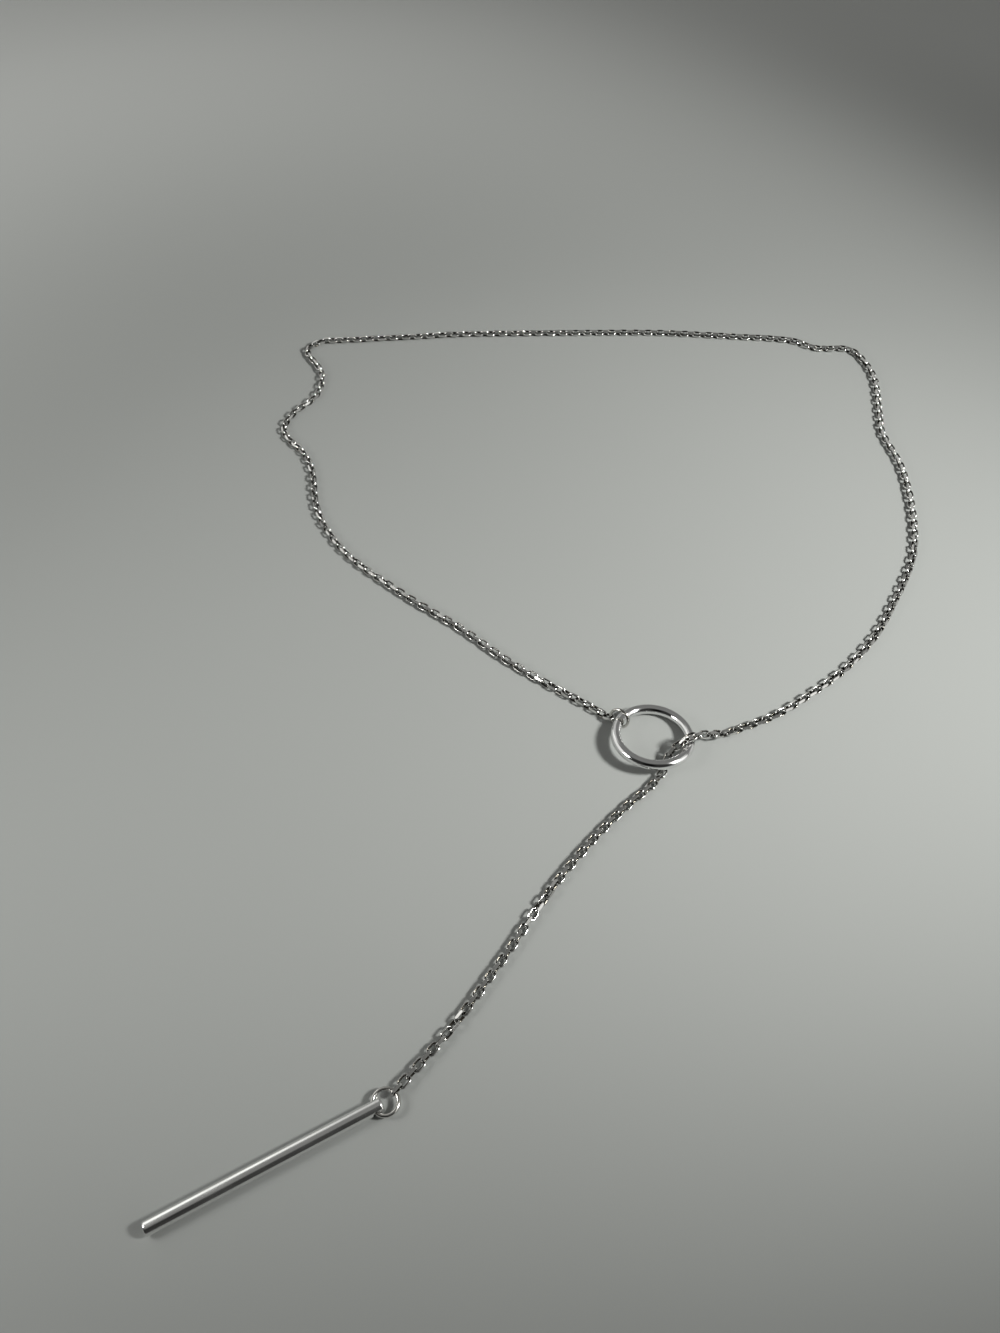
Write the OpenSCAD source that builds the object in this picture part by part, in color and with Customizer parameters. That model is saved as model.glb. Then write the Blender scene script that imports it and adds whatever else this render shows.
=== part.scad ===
// Y necklace laid on a flat surface, in millimetres, +Z up.
// One cable chain: its first end is tied to a ring, it runs round the neck loop, passes over
// the ring's right rim and under its front rim, and its last end carries a bar.
// The origin is on the surface, below the middle of the whole necklace.

/* [Ring] */
// Outer diameter of the ring
ring_od = 14.9; // [13.4:0.1:18]
// Thickness of the ring's wire
ring_wire = 1.8; // [1.6:0.05:2]
// Height of the ring's highest side above its lowest side
ring_rise = 1.85; // [1.8:0.05:2.2]

/* [Jump ring on the ring] */
// Outer diameter of the jump ring on the ring
tie_od = 4; // [3.9:0.1:4.6]
// Thickness of its wire
tie_wire = 0.55; // [0.45:0.05:0.6]
// How far it leans back from upright, in degrees
tie_lean = 20; // [10:1:22]

/* [Jump ring on the bar] */
// Outer diameter of the jump ring on the bar
hang_od = 4.3; // [4.1:0.1:4.8]
// Thickness of its wire
hang_wire = 0.6; // [0.5:0.05:0.65]

/* [Bar] */
// Length of the bar
bar_len = 34; // [25:1:45]
// Diameter of the bar
bar_d = 2.1; // [1.9:0.1:2.4]
// Rounding of the edges at the bar's ends
bar_edge = 0.3; // [0.1:0.05:0.4]
// Distance from the bar's end to the axis of its cross hole
hole_inset = 1.15; // [1.05:0.05:1.4]
// Clearance of the jump ring's curved wire in the cross hole, all round
hole_clear = 0.15; // [0.14:0.01:0.2]

/* [Chain] */
// Outer length of a link
link_len = 2.32; // [2.14:0.02:2.5]
// Outer width of a link
link_width = 1.45; // [1.35:0.05:1.6]
// Thickness of a link's wire
link_wire = 0.3; // [0.26:0.01:0.32]
// Play between the end wires of two neighbouring links
link_play = 0.22; // [0.18:0.01:0.24]
// Gap between a link and what it holds
hold_gap = 0.18; // [0.15:0.01:0.2]

/* [Hidden] */

// Ring: where its centre lies, and where its high side points
ring_at = [6.9, -22.1];
ring_high_dir = 250;
ring_r = (ring_od - ring_wire) / 2;
ring_tilt = asin(ring_rise / (2 * ring_r));

// Angles on the ring, seen from above, of the jump ring, and of the rim that the chain goes under
tie_dir = 146;
under_dir = -77;

// Neck loop, from near the ring's jump ring round to near the ring's right rim
NECK_ROUTE = [
    [-3.5, -15], [-11.5, -9.5], [-19, -4], [-27.5, 3.5], [-37.5, 11], [-49.5, 21.5],
    [-55.5, 29.5], [-59, 37.5], [-61, 48], [-63.5, 54], [-67.5, 59], [-69, 63],
    [-67.5, 68], [-63, 74.5], [-62.5, 82.5], [-66.5, 90], [-66.5, 93], [-63.5, 95.5],
    [-58, 96], [-40, 97.5], [-28, 98.5], [0, 99], [19, 99], [37.5, 97.5],
    [51, 96], [56.5, 93], [60.5, 92.5], [64, 92.5], [67, 90], [69, 81],
    [67.5, 68.5], [66.5, 60.5], [68, 49], [67, 35], [64, 22.5], [57.5, 10.5],
    [51.5, 1.5], [44.5, -6], [37.5, -11.5], [30, -16.5]
];
// Drop, from right of the ring to near the bar's jump ring. The third value is the height above
// a chain that lies flat. The first points lead up to the ring's rim, the others lead away from it
DROP_ROUTE = [
    [23.4, -19.4, 0], [20, -20.9, 0.2], [16.8, -22, 1.7],
    [5.5, -32, 0], [2.5, -34.5, 0], [-2.5, -39.5, 0], [-9, -47, 0], [-14.5, -54.5, 0],
    [-18, -60, 0], [-21.5, -65, 0], [-25, -70, 0], [-29, -75, 0]
];
points_to_rim = 3;
// How far the drop is twisted about itself, in degrees, at lengths from its first link
DROP_TWIST = [[0, 30], [4.5, -5], [7.5, -25], [12, 0], [47, 0], [58, 90], [72, 90], [80, 180]];
// Where the bar's jump ring lies, the way it hangs on the chain, and the bar's heading
hang_at = [-36.1, -83.2];
hang_dir = 49;
bar_dir = 207.5;

// Chain: height of its middle where it lies flat, turn from link to link, and steps along a route
chain_z = link_width / 2;
quarter_turn = 90;
link_pitch = link_len - 2 * link_wire - link_play;
link_end_r = (link_width - link_wire) / 2;
link_straight = link_len - link_width;
link_end_corners = 6;
link_sides = 6;
route_steps = 12;
tube_steps = 2;
tube_sides = 8;
tube_gap = 0.2;
start_lift = 0.2;

// Curves on round wire
wire_fn = 48;
round_fn = 96;

function unit(v) = v / norm(v);
function polar(r, a) = [r * cos(a), r * sin(a)];
function with_z(p, z) = [p.x, p.y, z];

// Height of the middle of the ring's wire at an angle along the ring
function ring_z(a) = ring_wire / 2 + ring_rise / 2 * (1 + cos(a - ring_high_dir));
// Middle of the ring's wire at an angle along the ring
function ring_point(a) =
    let (b = a - ring_high_dir,
         up_slope = ring_r * cos(b) * cos(ring_tilt),
         across = ring_r * sin(b))
    with_z(ring_at + polar(up_slope, ring_high_dir) + polar(across, ring_high_dir + 90), ring_z(a));

// Catmull-Rom curve between p1 and p2
function curve(p0, p1, p2, p3, t) = 0.5 * (2 * p1 + (p2 - p0) * t
    + (2 * p0 - 5 * p1 + 4 * p2 - p3) * t * t
    + (3 * p1 - p0 - 3 * p2 + p3) * t * t * t);
// Smooth path through points, with n steps for each stretch, no lower than a chain that lies flat
function smooth(p, n) = let (last = len(p) - 1) [
    for (i = [0 : last - 1])
        let (p0 = i == 0 ? 2 * p[0] - p[1] : p[i - 1],
             p3 = i == last - 1 ? 2 * p[last] - p[last - 1] : p[i + 2])
        for (k = [0 : n - 1])
            let (q = curve(p0, p[i], p[i + 1], p3, k / n))
            with_z(q, max(q.z, chain_z)),
    p[last]
];
// Length of a path up to each of its points
function lengths(q) = [
    for (i = 0, s = 0; i < len(q); i = i + 1, s = s + (i < len(q) ? norm(q[i] - q[i - 1]) : 0)) s
];
// Table of one coordinate against length, for lookup()
function table(q, s, axis) = [for (i = [0 : len(q) - 1]) [s[i], q[i][axis]]];
function tables(q, s) = [for (axis = [0 : 2]) table(q, s, axis)];
function at(t, s) = [lookup(s, t[0]), lookup(s, t[1]), lookup(s, t[2])];

// Jump ring on the ring: it stands on the surface across the rim, leaning back, and the chain
// pulls it outwards
tie_r = (tie_od - tie_wire) / 2;
tie_pull = 0.25;
tie_at = with_z(ring_at + polar(ring_r + tie_pull, tie_dir), tie_r * cos(tie_lean) + tie_wire / 2);

// Jump ring on the bar: the width that its curved wire takes up in the straight hole
hang_r = (hang_od - hang_wire) / 2;
wire_span = hang_od / 2 - sqrt(pow(hang_od / 2 - hang_wire, 2) - pow(bar_d / 2, 2));
hole_d = wire_span + 2 * hole_clear;
hang_z = bar_d / 2;
// Way from the jump ring's middle to the bar's end
hang_to_end = hang_od / 2 - wire_span / 2 - hole_inset;
bar_end = with_z(hang_at + polar(hang_to_end, bar_dir), bar_d / 2);

// End wire of the drop's last link: it lies inside the jump ring
hang_reach = hang_r - hang_wire / 2 - hold_gap - link_wire / 2;
last_wire = with_z(hang_at + polar(hang_reach, hang_dir), hang_z);

// Chain over the ring's right rim and down inside the ring: angle on the ring, distance inwards
// from the middle of the ring's wire, and height above it. Then it passes under the front rim
RIM_ROUTE = [[-12, 0.3, 2.1], [-16, 0.8, 1.6], [-25, 1.5, 0.6], [-49, 2.4, -0.75]];
function rim_point(p) = ring_point(p[0]) + with_z(polar(-p[1], p[0]), p[2]);
under_point = with_z(ring_point(under_dir), chain_z);

// Whole drop, from the first link's end wire to the last one's, and its links: both end wires of
// each link lie on the path
link_half = (link_len - link_wire) / 2;
drop_points = [for (p = DROP_ROUTE) p + [0, 0, chain_z]];
drop_path = smooth(concat(
    [for (i = [0 : points_to_rim - 1]) drop_points[i]],
    [for (p = RIM_ROUTE) rim_point(p)],
    [under_point],
    [for (i = [points_to_rim : len(drop_points) - 1]) drop_points[i]],
    [last_wire]
), route_steps);
drop_lengths = lengths(drop_path);
drop_tables = tables(drop_path, drop_lengths);
drop_total = drop_lengths[len(drop_lengths) - 1];
drop_run = drop_total - 2 * link_half;
drop_count = floor(drop_run / link_pitch + 0.5) + 1;

// Neck loop's tube, from just outside the ring's jump ring to just short of the drop's first link
neck_start = ring_at + polar(ring_r + tie_pull + tie_od / 2 + tube_gap, tie_dir);
neck_points = [for (p = NECK_ROUTE) with_z(p, chain_z)];
neck_to_drop = neck_points[len(neck_points) - 1] - drop_points[0];
neck_end = drop_points[0] + (link_wire / 2 + tube_gap) * unit(neck_to_drop);
neck_path = smooth(concat(
    [with_z(neck_start, chain_z + start_lift)],
    neck_points,
    [neck_end]
), tube_steps);

// Corners of a link's middle line, in its own plane: two round ends and two straight sides.
// The end's middle side touches the round end, so that the link keeps its length
function link_outline() = let (half_step = 90 / (link_end_corners - 1)) [
    for (end = [0, 1], k = [0 : link_end_corners - 1])
        let (a = -90 + 2 * half_step * k, way = 1 - 2 * end)
        [way * (link_straight / 2 + link_end_r * cos(a) / cos(half_step)),
         way * link_end_r * sin(a),
         a + 180 * end]
];
// Corners of the wire round one corner of the outline, with a flat side facing outwards
function wire_corners(corner, middle, along, side, face) =
    let (out = cos(corner[2]) * along + sin(corner[2]) * side,
         half_step = 180 / link_sides,
         r = link_wire / 2 / cos(half_step),
         p = middle + corner[0] * along + corner[1] * side)
    [for (k = [0 : link_sides - 1])
        p + r * (cos(half_step + 2 * half_step * k) * out + sin(half_step + 2 * half_step * k) * face)];
// Corners of one link, whose plane is turned by roll about the chain
function link_points(middle, along, roll) =
    let (level = unit(cross([0, 0, 1], along)),
         upright = cross(along, level),
         side = cos(roll) * level + sin(roll) * upright,
         face = cross(along, side))
    [for (corner = link_outline()) each wire_corners(corner, middle, along, side, face)];
// Faces of a closed hoop of rings, numbered from first
function hoop_faces(rings, sides, first) = [
    for (i = [0 : rings - 1], k = [0 : sides - 1])
        let (j = (i + 1) % rings, m = (k + 1) % sides)
        [first + i * sides + k, first + i * sides + m, first + j * sides + m, first + j * sides + k]
];
// Faces of an open tube of rings, with both ends closed
function tube_faces(rings, sides) = concat(
    [[for (k = [0 : sides - 1]) k]],
    [for (i = [0 : rings - 2], k = [0 : sides - 1])
        let (m = (k + 1) % sides)
        [i * sides + k, (i + 1) * sides + k, (i + 1) * sides + m, i * sides + m]],
    [[for (k = [sides - 1 : -1 : 0]) (rings - 1) * sides + k]]
);
// Corners of a tube's ring round a point of its path, with a flat side below
function tube_ring(p, along, r) =
    let (level = unit(cross([0, 0, 1], along)),
         upright = cross(along, level),
         half_step = 180 / tube_sides)
    [for (k = [0 : tube_sides - 1])
        p + r / cos(half_step) * (cos(half_step + 2 * half_step * k) * level
            + sin(half_step + 2 * half_step * k) * upright)];
// Heading of a path at one of its points
function heading(q, i) = unit(q[min(i + 1, len(q) - 1)] - q[max(i - 1, 0)]);

// Closed hoop of round wire about the Z axis
module wire_hoop(r, wire) {
    rotate_extrude($fn = round_fn)
        translate([r, 0])
            circle(d = wire, $fn = wire_fn);
}

module main_ring() {
    color([0.80, 0.80, 0.81])
        translate(with_z(ring_at, ring_wire / 2 + ring_rise / 2))
            rotate([0, 0, ring_high_dir])
                rotate([0, -ring_tilt, 0])
                    wire_hoop(ring_r, ring_wire);
}

module ring_jump_ring() {
    color([0.76, 0.76, 0.77])
        translate(tie_at)
            rotate([0, 0, tie_dir])
                rotate([90 + tie_lean, 0, 0])
                    wire_hoop(tie_r, tie_wire);
}

module bar_jump_ring() {
    color([0.76, 0.76, 0.77])
        translate(with_z(hang_at, hang_z))
            wire_hoop(hang_r, hang_wire);
}

module bar() {
    color([0.78, 0.78, 0.79])
        translate(bar_end)
            rotate([0, 0, bar_dir])
                difference() {
                    rotate([0, 90, 0])
                        rotate_extrude($fn = round_fn)
                            bar_profile();
                    translate([hole_inset, 0, 0])
                        rotate([90, 0, 0])
                            cylinder(d = hole_d, h = 2 * bar_d, center = true, $fn = wire_fn);
                }
}

// Half of the bar's long section, with rounded corners
module bar_profile() {
    r = bar_d / 2;
    square([r - bar_edge, bar_len]);
    translate([0, bar_edge])
        square([r, bar_len - 2 * bar_edge]);
    for (y = [bar_edge, bar_len - bar_edge])
        translate([r - bar_edge, y])
            circle(r = bar_edge, $fn = wire_fn);
}

// Links of the drop, each turned a quarter from the last: the one on the bar stands upright
module drop_chain() {
    corners = 2 * link_end_corners;
    points = [
        for (i = [0 : drop_count - 1])
            let (s = drop_run * i / (drop_count - 1),
                 start = at(drop_tables, s),
                 end = at(drop_tables, s + 2 * link_half))
            each link_points((start + end) / 2, unit(end - start),
                quarter_turn * (drop_count - i) + lookup(s, DROP_TWIST))
    ];
    faces = [
        for (i = [0 : drop_count - 1]) each hoop_faces(corners, link_sides, i * corners * link_sides)
    ];
    color([0.70, 0.70, 0.71])
        polyhedron(points = points, faces = faces, convexity = 10);
}

// Plain tube of the chain's own width round the neck loop
module neck_chain() {
    points = [
        for (i = [0 : len(neck_path) - 1]) each tube_ring(neck_path[i], heading(neck_path, i), chain_z)
    ];
    color([0.70, 0.70, 0.71])
        polyhedron(points = points, faces = tube_faces(len(neck_path), tube_sides), convexity = 10);
}

main_ring();
ring_jump_ring();
neck_chain();
drop_chain();
bar_jump_ring();
bar();
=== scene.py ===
import math

import bmesh
import bpy
import numpy as np
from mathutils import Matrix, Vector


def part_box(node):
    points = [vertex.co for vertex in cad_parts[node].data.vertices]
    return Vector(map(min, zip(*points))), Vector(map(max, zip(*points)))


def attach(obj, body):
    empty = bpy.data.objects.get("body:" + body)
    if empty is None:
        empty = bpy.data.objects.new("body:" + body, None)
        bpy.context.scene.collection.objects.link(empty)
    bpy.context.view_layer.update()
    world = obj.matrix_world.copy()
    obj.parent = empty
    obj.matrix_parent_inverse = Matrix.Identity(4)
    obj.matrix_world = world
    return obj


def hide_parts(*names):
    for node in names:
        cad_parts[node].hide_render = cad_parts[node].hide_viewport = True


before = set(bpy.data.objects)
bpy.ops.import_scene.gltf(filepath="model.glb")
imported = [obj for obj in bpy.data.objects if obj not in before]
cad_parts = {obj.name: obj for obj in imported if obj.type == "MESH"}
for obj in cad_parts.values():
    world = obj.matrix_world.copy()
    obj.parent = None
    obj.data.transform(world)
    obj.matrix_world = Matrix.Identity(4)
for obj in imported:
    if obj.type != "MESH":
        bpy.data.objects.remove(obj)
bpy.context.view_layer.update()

# Camera: where it stands over the surface, and how far it looks down
PHOTO_HEIGHT_PX = 1333
FOCAL_PX = 1030
SENSOR_MM = 36
CAMERA_AT = (-0.020, -0.123, 0.153)
CAMERA_DOWN_DEG = 52.4

# Neck loop, from near the ring's jump ring round to near the ring's right rim
NECK_ROUTE = [
    (-0.0035, -0.015), (-0.0115, -0.0095), (-0.019, -0.004), (-0.0275, 0.0035), (-0.0375, 0.011),
    (-0.0495, 0.0215), (-0.0555, 0.0295), (-0.059, 0.0375), (-0.061, 0.048), (-0.0635, 0.054),
    (-0.0675, 0.059), (-0.069, 0.063), (-0.0675, 0.068), (-0.063, 0.0745), (-0.0625, 0.0825),
    (-0.0665, 0.090), (-0.0665, 0.093), (-0.0635, 0.0955), (-0.058, 0.096), (-0.040, 0.0975),
    (-0.028, 0.0985), (0, 0.099), (0.019, 0.099), (0.0375, 0.0975), (0.051, 0.096),
    (0.0565, 0.093), (0.0605, 0.0925), (0.064, 0.0925), (0.067, 0.090), (0.069, 0.081),
    (0.0675, 0.0685), (0.0665, 0.0605), (0.068, 0.049), (0.067, 0.035), (0.064, 0.0225),
    (0.0575, 0.0105), (0.0515, 0.0015), (0.0445, -0.006), (0.0375, -0.0115), (0.030, -0.0165),
]
# How far the chain is twisted about itself, in degrees, at lengths from the drop's first link
NECK_TWIST = [
    (0, 0), (0.004, -4), (0.013, -8), (0.020, -12), (0.060, -12), (0.080, 10), (0.110, -5),
    (0.140, 20), (0.180, 5), (0.220, 30), (0.260, 30), (0.290, 60), (0.305, 75), (0.350, 75),
    (0.359, 55), (0.387, 55), (0.393, 74), (0.399, 95), (0.407, 105),
]
# The last stretch turns the rest of the way to the link that hangs in the ring's jump ring
HOOK_TURN = 0.012

# Chain links: a little longer than the CAD's, so that the thicker wire clears the next link. The
# wire is oval, and each long side is cut flat on its outside
LINK_PITCH = 0.0015
LINK_LENGTH = 0.00245
LINK_WIDTH = 0.00167
LINK_WIRE = 0.00040
LINK_WIRE_ACROSS = 0.00050
FLAT_CUT = 0.00011
WIRE_SIDES = 16
END_STEPS = 8
SHARP_DEG = 32
LINK_WOBBLE_DEG = 3.0
# No link turns further than this in its neighbours, in radians
WOBBLE_LIMIT = 0.12
ROUTE_STEPS = 24
# Height of a link's middle where it stands upright or lies flat, and where it leans half way
LINK_HIGH = 0.000725
LINK_LOW = 0.00065

# Jump ring on the ring: its wire, where the first link hangs on it, and that link's clearance
TIE_WIRE = 0.00055
HOOK_BELOW_DEG = 32
HOOK_GAP = 0.00004

# Corners of the CAD mesh that lie this close are one corner
WELD_DISTANCE = 1e-7

# Noise scales of the metal: wiped clouds, hairlines and cast specks
CLOUD_SCALE = 260
HAIRLINE_SCALE = 9000
SPECK_SCALE = 5200
CLOUD_RANGE = (0.35, 0.7)
SPECK_RANGE = (0.3, 0.7)
SPECK_ROUGHNESS = (0.07, 0.19)
# Where a link's inner share starts to darken with tarnish and painted shade, and where it is so all through
SHADE_AND_TARNISH_RANGE = (0.22, 0.70)
# Colour of the links' holes: partly tarnish, partly painted shade where the holes fall dark
SHADE_AND_TARNISH_COLOR = (0.050, 0.046, 0.038)
# The bar's hairlines run along it
BAR_TURN_DEG = 27.5
BAR_STRETCH = (30, 1, 1)

# Floor: its size, and its colour near the necklace, further out and far off, with the distances
# from the middle between which one changes to the next. The paler colours further out are painted
# light, making up for the lamps' light that fades away from the necklace
FLOOR_SIZE = 6.0
FLOOR_PATCH_SCALE = 9
FLOOR_NEAR = ((0.197, 0.204, 0.198), (0.209, 0.216, 0.210))
FLOOR_PAINTED_LIGHT_STEPS = [
    ((0.12, 0.32), (0.48, 0.49, 0.48)),
    ((0.38, 0.9), (0.86, 0.87, 0.86)),
]

SEED = 7
rng = np.random.default_rng(SEED)


def unit(vector):
    return np.asarray(vector, float) / np.linalg.norm(vector)


# Places of the chain's links

def smooth_path(points, steps):
    """Catmull-Rom curve through the points, with this many steps for each stretch."""
    points = np.asarray(points, float)
    padded = np.vstack([2 * points[0] - points[1], points, 2 * points[-1] - points[-2]])
    t = np.arange(steps)[:, None] / steps
    parts = []
    for p0, p1, p2, p3 in zip(padded, padded[1:], padded[2:], padded[3:]):
        parts.append(0.5 * (2 * p1 + (p2 - p0) * t
                            + (2 * p0 - 5 * p1 + 4 * p2 - p3) * t ** 2
                            + (3 * p1 - p0 - 3 * p2 + p3) * t ** 3))
    return np.vstack(parts + [points[-1:]])


def along_path(path, lengths):
    """Points of a path at these lengths from its start."""
    steps = np.linalg.norm(np.diff(path, axis=0), axis=1)
    done = np.concatenate([[0], np.cumsum(steps)])
    return np.column_stack([np.interp(lengths, done, path[:, axis]) for axis in range(path.shape[1])])


def path_length(path):
    return np.linalg.norm(np.diff(path, axis=0), axis=1).sum()


def links_of_node(name):
    """Middle, long axis and side axis of each loose link of a CAD node, from right to left.

    A side axis may point either way, also from one run to the next: its link looks the same, but
    its corners are then numbered the other way round.
    """
    mesh = bmesh.new()
    mesh.from_mesh(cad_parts[name].data)
    bmesh.ops.remove_doubles(mesh, verts=mesh.verts, dist=WELD_DISTANCE)
    places = []
    left = set(mesh.verts)
    while left:
        link = {left.pop()}
        edge_of_link = list(link)
        while edge_of_link:
            vertex = edge_of_link.pop()
            for edge in vertex.link_edges:
                other = edge.other_vert(vertex)
                if other in left:
                    left.discard(other)
                    link.add(other)
                    edge_of_link.append(other)
        corners = np.array([v.co for v in link])
        middle = corners.mean(0)
        axes = np.linalg.eigh((corners - middle).T @ (corners - middle))[1]
        along = axes[:, 2] * (-1 if axes[0, 2] > 0 else 1)
        places.append((middle, along, axes[:, 1]))
    mesh.free()
    return sorted(places, key=lambda place: -place[0][0])


def roll_of(along, side):
    """Angle in degrees, about the chain, of a link's side axis above the level."""
    level = unit(np.cross((0, 0, 1), along))
    upright = np.cross(along, level)
    return math.degrees(math.atan2(side @ upright, side @ level))


def side_of(along, roll_deg):
    """Side axis of a link that is turned by this roll about the chain."""
    level = unit(np.cross((0, 0, 1), along))
    upright = np.cross(along, level)
    roll = math.radians(roll_deg)
    return math.cos(roll) * level + math.sin(roll) * upright


def lying_height(twist_deg):
    """Height of the chain's middle over the surface: its links stand lowest at an eighth of a turn."""
    reach = np.maximum(abs(np.sin(np.radians(twist_deg))), abs(np.cos(np.radians(twist_deg))))
    return np.interp(reach, (math.sqrt(0.5), 1), (LINK_LOW, LINK_HIGH))


def hook_link():
    """Middle, long axis and side axis of the link that hangs in the ring's jump ring."""
    corners = np.array([v.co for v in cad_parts["ring_jump_ring"].data.vertices])
    middle = (corners.min(0) + corners.max(0)) / 2
    tie_normal = np.linalg.eigh((corners - middle).T @ (corners - middle))[1][:, 0]
    tie_inner_r = np.linalg.norm(corners - middle, axis=1).max() - TIE_WIRE
    ring_low, ring_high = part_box("main_ring")
    outward = middle - np.array((ring_low + ring_high) / 2)
    outward[2] = 0
    outward = unit(outward)
    down = unit(np.cross(outward, tie_normal))
    down = down if down[2] < 0 else -down
    reach = tie_inner_r - LINK_WIRE / 2 - HOOK_GAP
    below = math.radians(HOOK_BELOW_DEG)
    held = middle + reach * (math.cos(below) * outward + math.sin(below) * down)
    span = LINK_LENGTH - LINK_WIRE
    drop = held[2] - LINK_HIGH
    along = unit(math.sqrt(span ** 2 - drop ** 2) * outward - drop * np.array((0, 0, 1)))
    side = unit(tie_normal - (tie_normal @ along) * along)
    return held + along * span / 2, along, side


def neck_links(first_of_drop):
    """Places of the neck loop's links, from the drop's first link round to the ring's jump ring."""
    start, start_along, start_side = first_of_drop
    hook_at, hook_along, hook_side = hook_link()
    flat_route = [start[:2]] + NECK_ROUTE[::-1] + [hook_at[:2]]
    path = smooth_path(flat_route, ROUTE_STEPS)
    total = path_length(path)
    count = round(total / LINK_PITCH)
    lengths = np.arange(count + 1) * total / count
    places = along_path(path, lengths)
    twists = np.interp(lengths, *np.array(NECK_TWIST).T)
    first_roll = roll_of(-start_along, start_side)
    quarter = (first_roll + 90 * count + twists[-1] - roll_of(-hook_along, hook_side)) % 180
    spare = -quarter if quarter <= 90 else 180 - quarter
    twists = twists + spare * np.clip(1 - (total - lengths) / HOOK_TURN, 0, 1)
    rolls = first_roll + 90 * np.arange(count + 1) + twists
    heights = lying_height(rolls)
    heights[0] = start[2]
    heights[-1] = hook_at[2]
    middles = np.column_stack([places, heights])
    links = []
    for i in range(1, count + 1):
        along = unit(middles[min(i + 1, count)] - middles[i - 1])
        if i == count:
            along = -hook_along
        links.append((middles[i], along, side_of(along, rolls[i])))
    return links


# Meshes of links

def link_template():
    """One link about the origin, long axis X and side axis Y, with its two outer sides cut flat."""
    end_r = (LINK_WIDTH - LINK_WIRE) / 2
    half_straight = (LINK_LENGTH - LINK_WIDTH) / 2
    link = bmesh.new()
    rings = []
    for end in (1, -1):
        for k in range(END_STEPS + 1):
            turn = math.pi * (k / END_STEPS - 0.5)
            out = np.array((end * math.cos(turn), end * math.sin(turn), 0))
            middle = np.array((end * half_straight, 0, 0)) + end_r * out
            ring = []
            for j in range(WIRE_SIDES):
                angle = 2 * math.pi * (j + 0.5) / WIRE_SIDES
                across = LINK_WIRE_ACROSS / 2 * math.sin(angle)
                ring.append(link.verts.new(middle + LINK_WIRE / 2 * math.cos(angle) * out + (0, 0, across)))
            rings.append(ring)
    for ring, after in zip(rings, rings[1:] + rings[:1]):
        for j in range(WIRE_SIDES):
            k = (j + 1) % WIRE_SIDES
            link.faces.new((ring[j], ring[k], after[k], after[j]))
    for way in (1, -1):
        whole = link.verts[:] + link.edges[:] + link.faces[:]
        cut_at = (0, way * (LINK_WIDTH / 2 - FLAT_CUT), 0)
        cut = bmesh.ops.bisect_plane(
            link, geom=whole, plane_co=cut_at, plane_no=(0, way, 0), clear_outer=True)
        rim = [e for e in cut["geom_cut"] if isinstance(e, bmesh.types.BMEdge)]
        bmesh.ops.contextual_create(link, geom=rim)
    bmesh.ops.recalc_face_normals(link, faces=link.faces)
    mesh = bpy.data.meshes.new("link_template")
    link.to_mesh(mesh)
    link.free()
    return mesh


def inner_share(corners):
    """How far each corner of a link lies towards its hole: 0 on the outside, 1 on the inside."""
    half_straight = (LINK_LENGTH - LINK_WIDTH) / 2
    end_r = (LINK_WIDTH - LINK_WIRE) / 2
    nearest_x = np.clip(corners[:, 0], -half_straight, half_straight)
    from_axis = np.hypot(corners[:, 0] - nearest_x, corners[:, 1])
    return np.clip(0.5 - (from_axis - end_r) / LINK_WIRE, 0, 1)


def chain_piece(name, places, material):
    """All links of a chain as one mesh, with a value for each link's tone and each corner's inner share."""
    template = link_template()
    corners = np.array([v.co for v in template.vertices])
    corner_count = len(corners)
    faces = [list(face.vertices) for face in template.polygons]
    loops = np.concatenate(faces)
    totals = np.array([len(face) for face in faces])
    starts = np.concatenate([[0], np.cumsum(totals)[:-1]])
    inner = inner_share(corners)
    bpy.data.meshes.remove(template)
    count = len(places)
    points = np.empty((count, corner_count, 3))
    for i, (middle, along, side) in enumerate(places):
        points[i] = middle + corners @ np.array((along, side, np.cross(along, side)))
    mesh = bpy.data.meshes.new(name)
    mesh.vertices.add(count * corner_count)
    mesh.vertices.foreach_set("co", points.ravel())
    mesh.loops.add(count * len(loops))
    mesh.loops.foreach_set("vertex_index", (loops + corner_count * np.arange(count)[:, None]).ravel())
    mesh.polygons.add(count * len(faces))
    mesh.polygons.foreach_set("loop_start", (starts + len(loops) * np.arange(count)[:, None]).ravel())
    mesh.update(calc_edges=True)
    mesh.polygons.foreach_set("use_smooth", np.ones(len(mesh.polygons), bool))
    mesh.set_sharp_from_angle(angle=math.radians(SHARP_DEG))
    inner_values = mesh.attributes.new("inner", "FLOAT", "POINT")
    inner_values.data.foreach_set("value", np.tile(inner, count))
    tones = mesh.attributes.new("tone", "FLOAT", "POINT")
    tones.data.foreach_set("value", np.repeat(rng.random(count), corner_count))
    mesh.materials.append(material)
    piece = bpy.data.objects.new(name, mesh)
    bpy.context.scene.collection.objects.link(piece)
    return piece


def wobble(places):
    """The same places with each link turned a little in its neighbours, as loose links lie."""
    loose = []
    for middle, along, side in places:
        turn, lift, roll = np.radians(rng.normal(0, LINK_WOBBLE_DEG, 3)).clip(-WOBBLE_LIMIT, WOBBLE_LIMIT)
        face = np.cross(along, side)
        along = unit(along + turn * side + lift * face)
        side = unit(side + roll * face - (side @ along) * along)
        side = unit(side - (side @ along) * along)
        loose.append((middle, along, side))
    return loose


# Materials

def new_material(name, color, roughness):
    """Metal material with its shader, and an object-space coordinate for its patterns."""
    material = bpy.data.materials.new(name)
    material.use_nodes = True
    nodes = material.node_tree.nodes
    shader = nodes["Principled BSDF"]
    shader.inputs["Metallic"].default_value = 1.0
    shader.inputs["Base Color"].default_value = (*color, 1)
    shader.inputs["Roughness"].default_value = roughness
    place = nodes.new("ShaderNodeTexCoord")
    return material, shader, place.outputs["Object"]


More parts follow.
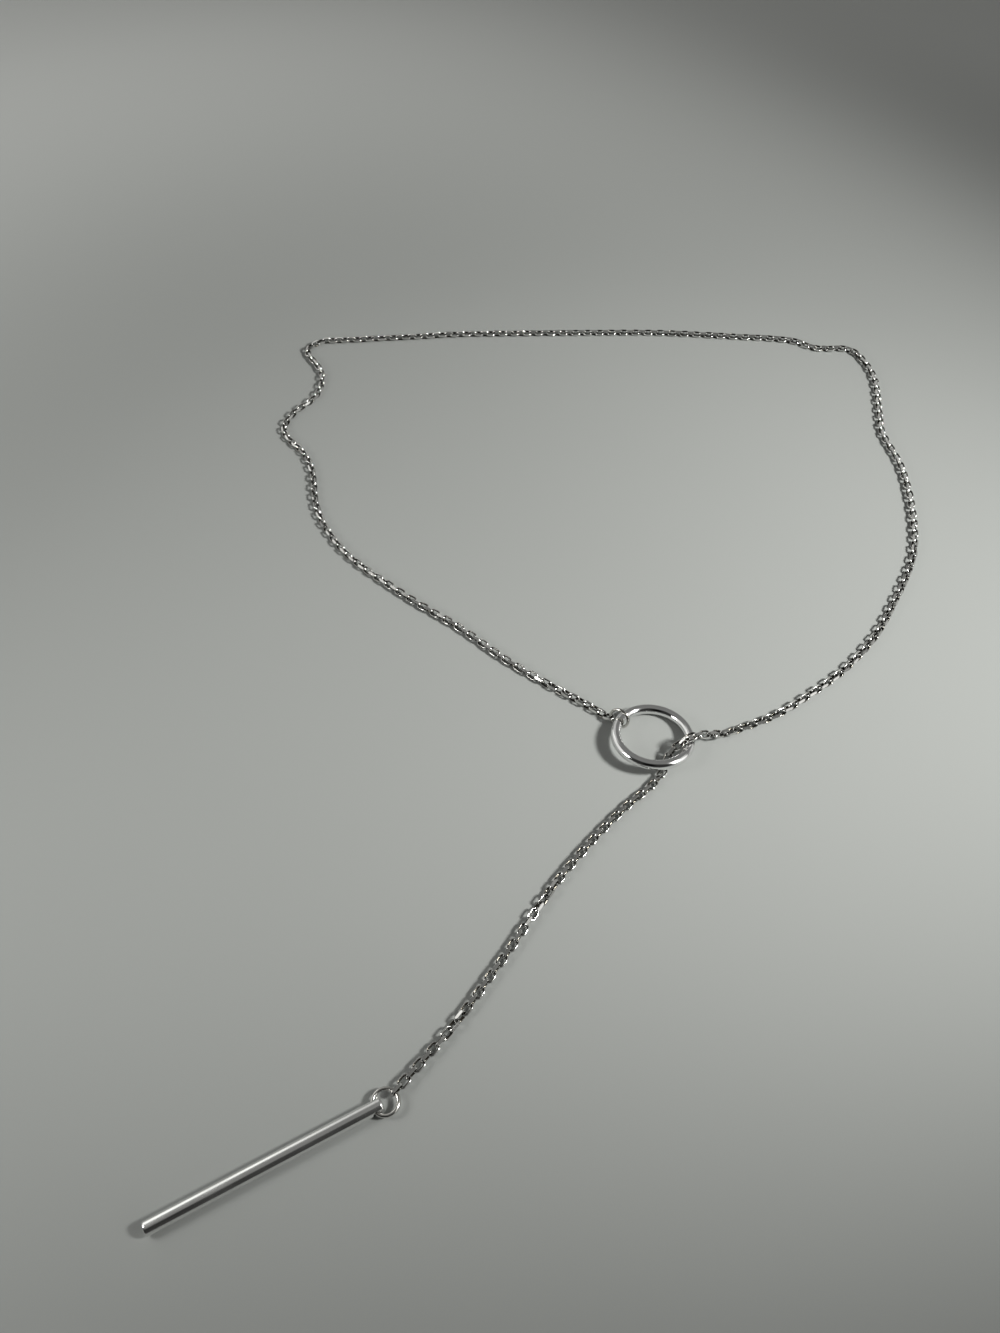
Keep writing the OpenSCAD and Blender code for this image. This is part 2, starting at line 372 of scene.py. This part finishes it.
def add_noise(material, place, scale, detail=2.0, stretch=None, turn_deg=0):
    """Noise value over the surface, with an option to stretch it along one direction."""
    nodes = material.node_tree.nodes
    links = material.node_tree.links
    noise = nodes.new("ShaderNodeTexNoise")
    noise.inputs["Scale"].default_value = scale
    noise.inputs["Detail"].default_value = detail
    if stretch is None:
        links.new(place, noise.inputs["Vector"])
        return noise.outputs["Fac"]
    mapping = nodes.new("ShaderNodeMapping")
    mapping.vector_type = "TEXTURE"
    mapping.inputs["Rotation"].default_value = (0, 0, math.radians(turn_deg))
    mapping.inputs["Scale"].default_value = stretch
    links.new(place, mapping.inputs["Vector"])
    links.new(mapping.outputs["Vector"], noise.inputs["Vector"])
    return noise.outputs["Fac"]


def add_range(material, value, from_low, from_high, to_low, to_high):
    """The value spread from one range to another."""
    spread = material.node_tree.nodes.new("ShaderNodeMapRange")
    spread.inputs["From Min"].default_value = from_low
    spread.inputs["From Max"].default_value = from_high
    spread.inputs["To Min"].default_value = to_low
    spread.inputs["To Max"].default_value = to_high
    material.node_tree.links.new(value, spread.inputs["Value"])
    return spread.outputs["Result"]


def add_mix(material, share, first, second):
    """Mix of two colours, each a colour or another node's output."""
    mix = material.node_tree.nodes.new("ShaderNodeMix")
    mix.data_type = "RGBA"
    material.node_tree.links.new(share, mix.inputs["Factor"])
    for socket, color in (("A", first), ("B", second)):
        target = [s for s in mix.inputs if s.name == socket and s.type == "RGBA"][0]
        if isinstance(color, tuple):
            target.default_value = (*color, 1)
        else:
            material.node_tree.links.new(color, target)
    return [s for s in mix.outputs if s.type == "RGBA"][0]


def add_bump(material, shader, value, strength, distance):
    bump = material.node_tree.nodes.new("ShaderNodeBump")
    bump.inputs["Strength"].default_value = strength
    bump.inputs["Distance"].default_value = distance
    material.node_tree.links.new(value, bump.inputs["Height"])
    material.node_tree.links.new(bump.outputs["Normal"], shader.inputs["Normal"])


def add_attribute(material, name):
    attribute = material.node_tree.nodes.new("ShaderNodeAttribute")
    attribute.attribute_name = name
    return attribute.outputs["Fac"]


def polished_metal(name, bright, dull, smooth, rough, turn_deg=0, stretch=(1, 1, 1)):
    """Polished white metal: cloudy wiped patches, and hairlines along one direction."""
    material, shader, place = new_material(name, bright, smooth)
    links = material.node_tree.links
    clouds = add_noise(material, place, CLOUD_SCALE, 3)
    hairlines = add_noise(material, place, HAIRLINE_SCALE, 2, stretch, turn_deg)
    color = add_mix(material, add_range(material, clouds, *CLOUD_RANGE, 0, 1), bright, dull)
    links.new(color, shader.inputs["Base Color"])
    links.new(add_range(material, clouds, *CLOUD_RANGE, smooth, rough), shader.inputs["Roughness"])
    add_bump(material, shader, hairlines, 0.12, 0.000004)
    return material


def chain_metal(name):
    """Cast and tumbled links: each a little lighter or darker at random, bright outside, and dark in the
    holes from tarnish and painted shade.
    """
    bright = (0.75, 0.745, 0.73)
    dim = (0.56, 0.555, 0.54)
    material, shader, place = new_material(name, bright, 0.2)
    links = material.node_tree.links
    tone = add_attribute(material, "tone")
    inner = add_attribute(material, "inner")
    specks = add_noise(material, place, SPECK_SCALE, 3)
    base = add_mix(material, tone, bright, dim)
    # Painted shade with tarnish: each link's colour darkens towards its hole
    shade_and_tarnish = add_range(material, inner, *SHADE_AND_TARNISH_RANGE, 0, 1)
    links.new(add_mix(material, shade_and_tarnish, base, SHADE_AND_TARNISH_COLOR), shader.inputs["Base Color"])
    links.new(add_range(material, specks, *SPECK_RANGE, *SPECK_ROUGHNESS), shader.inputs["Roughness"])
    add_bump(material, shader, specks, 0.2, 0.000006)
    return material


def floor_material():
    """Matt pale floor with a faint unevenness of tone, painted paler in two steps away from the necklace as
    painted light where the lamps' light fades.
    """
    material = bpy.data.materials.new("floor")
    material.use_nodes = True
    shader = material.node_tree.nodes["Principled BSDF"]
    shader.inputs["Roughness"].default_value = 0.9
    shader.inputs["Specular IOR Level"].default_value = 0.2
    place = material.node_tree.nodes.new("ShaderNodeTexCoord")
    patches = add_noise(material, place.outputs["Object"], FLOOR_PATCH_SCALE, 3)
    color = add_mix(material, patches, *FLOOR_NEAR)
    reach = material.node_tree.nodes.new("ShaderNodeVectorMath")
    reach.operation = "LENGTH"
    material.node_tree.links.new(place.outputs["Object"], reach.inputs[0])
    # Painted light: the floor's colour grows paler away from the necklace, standing in for light that fades
    # there
    for (start, end), painted_lighter in FLOOR_PAINTED_LIGHT_STEPS:
        share = add_range(material, reach.outputs["Value"], start, end, 0, 1)
        share.node.interpolation_type = "SMOOTHSTEP"
        color = add_mix(material, share, color, painted_lighter)
    material.node_tree.links.new(color, shader.inputs["Base Color"])
    return material


# Stage: floor, light and camera

def make_floor():
    mesh = bpy.data.meshes.new("floor")
    half = FLOOR_SIZE / 2
    corners = [(-half, -half, 0), (half, -half, 0), (half, half, 0), (-half, half, 0)]
    mesh.from_pydata(corners, [], [(0, 1, 2, 3)])
    mesh.materials.append(floor_material())
    floor = bpy.data.objects.new("floor", mesh)
    bpy.context.scene.collection.objects.link(floor)


def place_light(lamp, middle, target):
    """Puts a light at this place, facing the target, and hides it from the camera itself."""
    light = bpy.data.objects.new(lamp.name, lamp)
    light.location = middle
    light.rotation_euler = Vector(np.subtract(middle, target)).to_track_quat("Z", "Y").to_euler()
    light.visible_camera = False
    bpy.context.scene.collection.objects.link(light)


def add_panel(name, middle, target, width, height, radiance):
    """Soft rectangular light of this even brightness."""
    lamp = bpy.data.lights.new(name, "AREA")
    lamp.color = LAMP_COLOR
    lamp.shape = "RECTANGLE"
    lamp.size = width
    lamp.size_y = height
    lamp.energy = math.pi * width * height * radiance
    place_light(lamp, middle, target)


def add_spot(name, middle, target, half_cone_deg, radius, power):
    """Soft round light that fades towards the edge of its cone."""
    lamp = bpy.data.lights.new(name, "SPOT")
    lamp.color = LAMP_COLOR
    lamp.spot_size = math.radians(2 * half_cone_deg)
    lamp.spot_blend = 1
    lamp.shadow_soft_size = radius
    lamp.energy = power
    place_light(lamp, middle, target)


def direction(azimuth_deg, elevation_deg):
    """Unit vector towards a place in the room. Azimuth 0 is +X and 90 is +Y."""
    azimuth = math.radians(azimuth_deg)
    elevation = math.radians(elevation_deg)
    level = math.cos(elevation)
    return (math.cos(azimuth) * level, math.sin(azimuth) * level, math.sin(elevation))


def add_math(tree, operation, first, second):
    node = tree.nodes.new("ShaderNodeMath")
    node.operation = operation
    tree.links.new(first, node.inputs[0])
    if isinstance(second, (int, float)):
        node.inputs[1].default_value = second
    else:
        tree.links.new(second, node.inputs[1])
    return node.outputs["Value"]


def add_patch(tree, toward, azimuth_deg, elevation_deg, inner_deg, outer_deg):
    """1 inside a round patch of the room, fading to 0 at its outer edge."""
    dot = tree.nodes.new("ShaderNodeVectorMath")
    dot.operation = "DOT_PRODUCT"
    dot.inputs[1].default_value = direction(azimuth_deg, elevation_deg)
    tree.links.new(toward, dot.inputs[0])
    fade = tree.nodes.new("ShaderNodeMapRange")
    fade.interpolation_type = "SMOOTHSTEP"
    fade.inputs["From Min"].default_value = math.cos(math.radians(outer_deg))
    fade.inputs["From Max"].default_value = math.cos(math.radians(inner_deg))
    tree.links.new(dot.outputs["Value"], fade.inputs["Value"])
    return fade.outputs["Result"]


# The room: plain grey with softly edged bright and dark patches. Each patch has its azimuth,
# elevation, inner and outer radius in degrees, and strength. Seen directly, it is a plain backdrop
LAMP_COLOR = (1, 1, 0.97)
ROOM_GREY = 0.19
BACKDROP_GREY = 0.30
DARK_PATCHES = [
    (238, 38, 26, 38, 0.85),
    (286, 38, 26, 38, 0.85),
]
BRIGHT_PATCHES = [
    (344, 23, 17, 23, 0.9),
    (5, 47, 10, 19, 0.45),
    (24, 4, 10, 24, 0.4),
    (114, 30, 12, 26, 0.36),
]


def make_light():
    world = bpy.data.worlds.new("studio")
    bpy.context.scene.world = world
    world.use_nodes = True
    tree = world.node_tree
    toward = tree.nodes.new("ShaderNodeTexCoord").outputs["Generated"]
    room = tree.nodes.new("ShaderNodeValue").outputs["Value"]
    room.default_value = ROOM_GREY
    for azimuth_deg, elevation_deg, inner_deg, outer_deg, share in DARK_PATCHES:
        patch = add_patch(tree, toward, azimuth_deg, elevation_deg, inner_deg, outer_deg)
        kept = add_math(tree, "MULTIPLY_ADD", patch, -share)
        kept.node.inputs[2].default_value = 1
        room = add_math(tree, "MULTIPLY", room, kept)
    for azimuth_deg, elevation_deg, inner_deg, outer_deg, strength in BRIGHT_PATCHES:
        patch = add_patch(tree, toward, azimuth_deg, elevation_deg, inner_deg, outer_deg)
        room = add_math(tree, "ADD", room, add_math(tree, "MULTIPLY", patch, strength))
    background = tree.nodes["Background"]
    background.inputs["Color"].default_value = (*LAMP_COLOR, 1)
    seen = tree.nodes.new("ShaderNodeMix")
    tree.links.new(tree.nodes.new("ShaderNodeLightPath").outputs["Is Camera Ray"], seen.inputs["Factor"])
    tree.links.new(room, seen.inputs["A"])
    seen.inputs["B"].default_value = BACKDROP_GREY
    tree.links.new(seen.outputs["Result"], background.inputs["Strength"])
    add_spot("window", (0.239, -0.084, 0.240), (-0.020, 0.055, 0),
             half_cone_deg=33, radius=0.031, power=11.2)
    add_panel("screen", (-0.300, 0.125, 0.205), (0, 0.125, 0.205),
              width=0.45, height=0.35, radiance=0.70)
    add_panel("lamp", (-0.165, -0.080, 0.110), (0.007, -0.022, 0),
              width=0.06, height=0.06, radiance=13.0)


def make_camera():
    camera = bpy.data.cameras.new("camera")
    camera.sensor_width = SENSOR_MM
    camera.lens = FOCAL_PX / PHOTO_HEIGHT_PX * SENSOR_MM
    camera.clip_start = 0.005
    camera.clip_end = 20
    eye = bpy.data.objects.new("camera", camera)
    eye.location = CAMERA_AT
    eye.rotation_euler = (math.radians(90 - CAMERA_DOWN_DEG), 0, 0)
    bpy.context.scene.collection.objects.link(eye)
    bpy.context.scene.camera = eye
    bpy.context.scene.view_settings.view_transform = "Standard"


make_camera()
make_light()
make_floor()

link_metal = chain_metal("chain_metal")
drop_places = links_of_node("drop_chain")
neck_places = neck_links(drop_places[0])
necks = chain_piece("neck_links", wobble(neck_places), link_metal)
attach(necks, "root")
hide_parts("neck_chain")
drops = chain_piece("drop_links", drop_places, link_metal)
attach(drops, "root")
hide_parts("drop_chain")

node_materials = {
    "main_ring": polished_metal("polished_ring", (0.86, 0.86, 0.86), (0.78, 0.78, 0.78), 0.05, 0.12),
    "ring_jump_ring": polished_metal("tie_metal", (0.66, 0.65, 0.62), (0.46, 0.45, 0.42), 0.08, 0.16),
    "bar_jump_ring": polished_metal("hang_metal", (0.72, 0.71, 0.69), (0.52, 0.51, 0.48), 0.08, 0.16),
    "bar": polished_metal(
        "polished_bar", (0.86, 0.86, 0.85), (0.78, 0.78, 0.77), 0.18, 0.25, BAR_TURN_DEG, BAR_STRETCH),
}
for node_name, node_material in node_materials.items():
    node_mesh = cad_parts[node_name].data
    node_mesh.materials.clear()
    node_mesh.materials.append(node_material)
